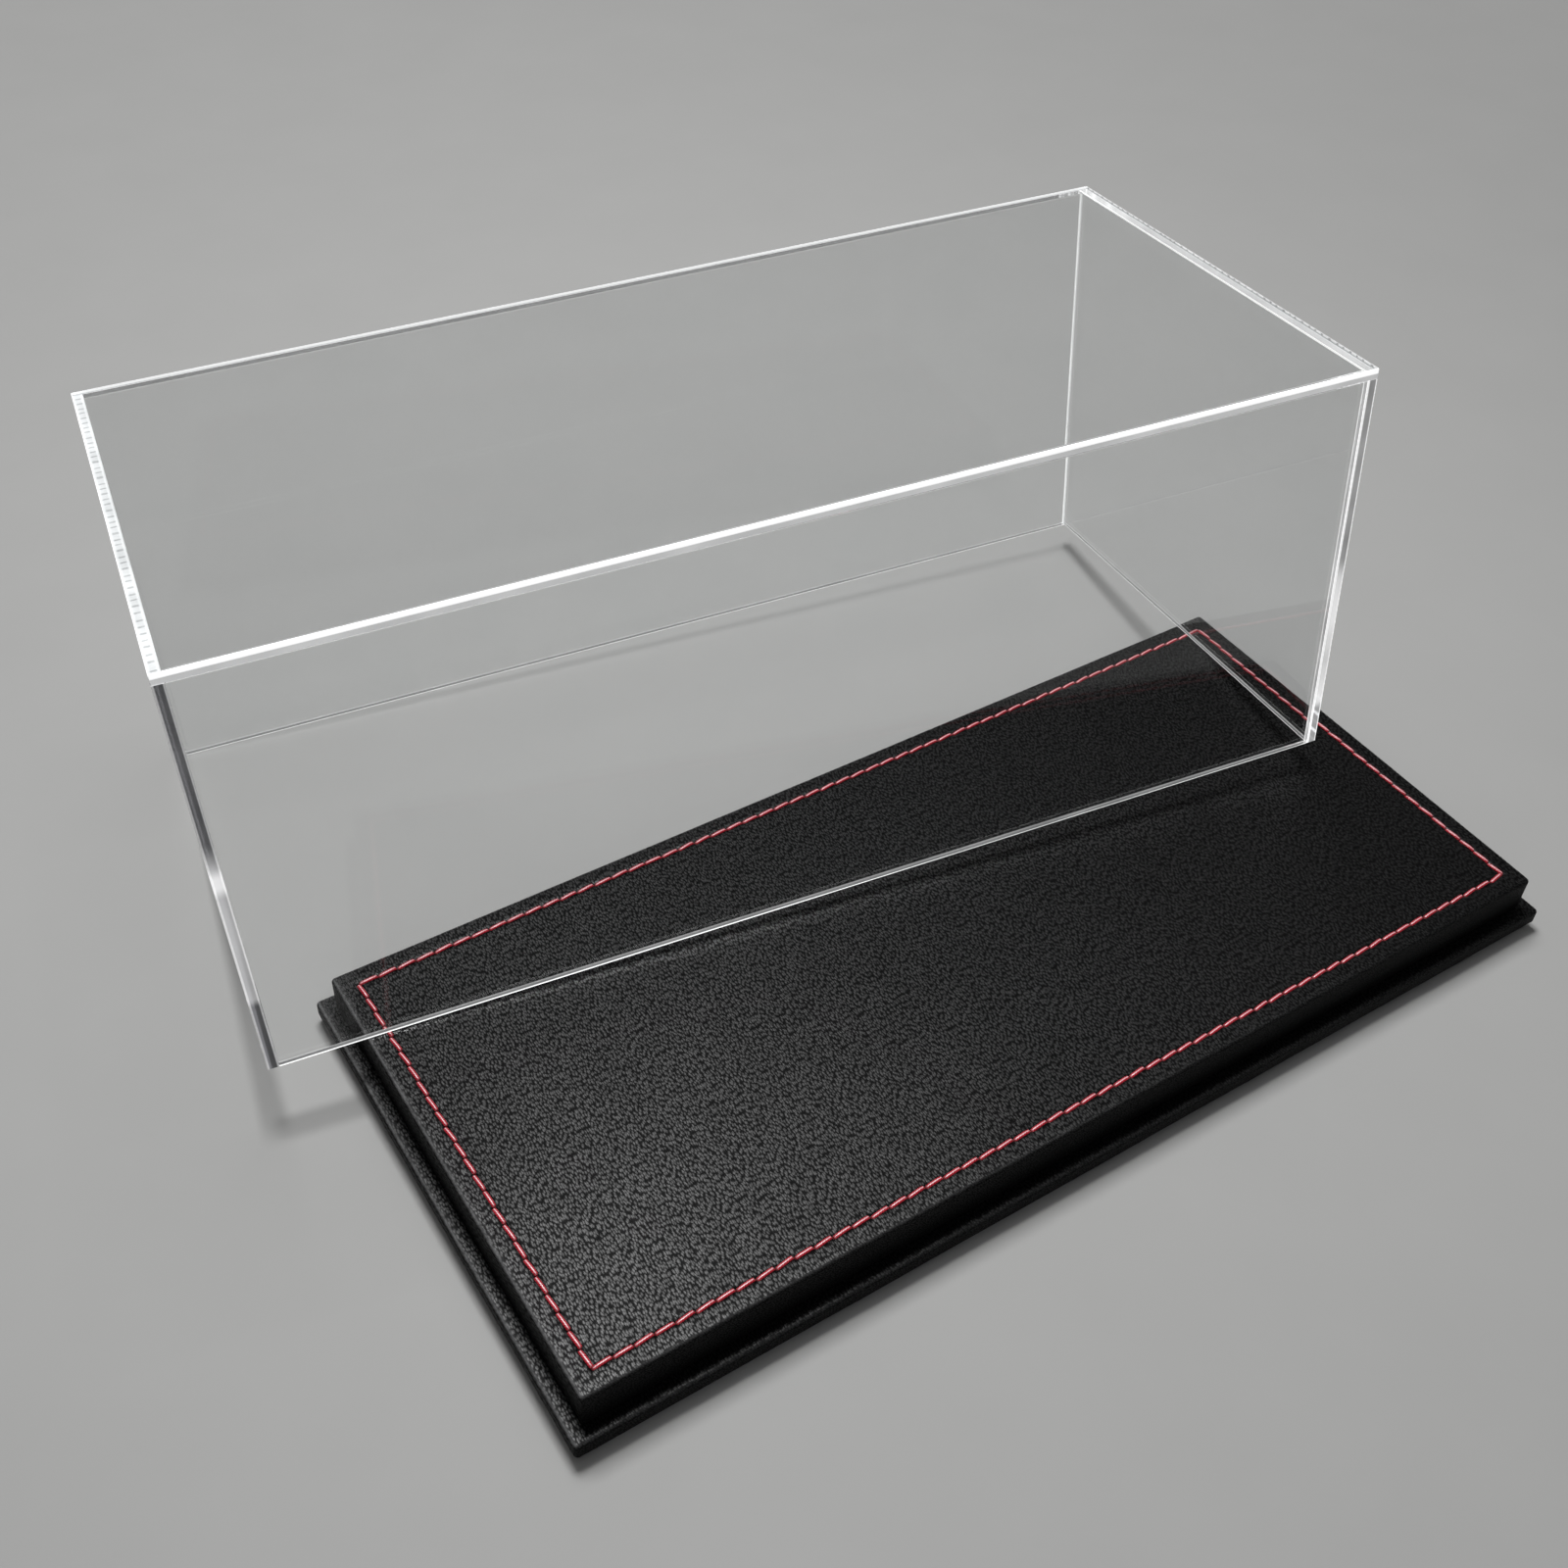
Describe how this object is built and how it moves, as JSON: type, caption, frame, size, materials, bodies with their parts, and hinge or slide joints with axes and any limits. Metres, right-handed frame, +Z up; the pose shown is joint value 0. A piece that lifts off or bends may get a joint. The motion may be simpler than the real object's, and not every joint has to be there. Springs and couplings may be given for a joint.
{
  "type": "display case",
  "caption": "Clear acrylic box cover, lifted off and leaning on the stepped leather-wrapped plinth that it fits over, with a stitched border; shows a scale model and keeps dust off it.",
  "frame": {"origin": "on the surface that the case stands on, under the middle of the plinth", "axes": "+X along the plinth to the right, +Y to the back, +Z up; the front is -Y"},
  "size_m": [0.3471, 0.2929, 0.1524],
  "materials": {
    "acrylic": "clear cast sheet, polished faces and sawn edges",
    "leather": "black imitation leather with a fine pebble grain, satin",
    "needle_thread": "twisted polyester sewing thread",
    "bobbin_thread": "polyester sewing thread",
    "board": "bare fibreboard",
    "screw_steel": "zinc plated",
    "felt": "pressed felt",
    "foot_rubber": "matt moulded rubber"
  },
  "bodies": {
    "plinth": {"lower_board": "board", "lower_leather": "leather", "upper_board": "board", "upper_leather": "leather", "needle_thread": "needle_thread", "bobbin_thread": "bobbin_thread", "tier_screws": "screw_steel", "underside_felt": "felt", "foot_front_left": "foot_rubber", "foot_front_right": "foot_rubber", "foot_back_left": "foot_rubber", "foot_back_right": "foot_rubber"},
    "cover": {"cover_top": "acrylic", "cover_front": "acrylic", "cover_back": "acrylic", "cover_left": "acrylic", "cover_right": "acrylic"}
  },
  "joints": [
    {"name": "cover_lift", "type": "slide", "parent": "plinth", "child": "cover", "axis": [0, 0, 1], "range_m": [0, 0.13]}
  ]
}
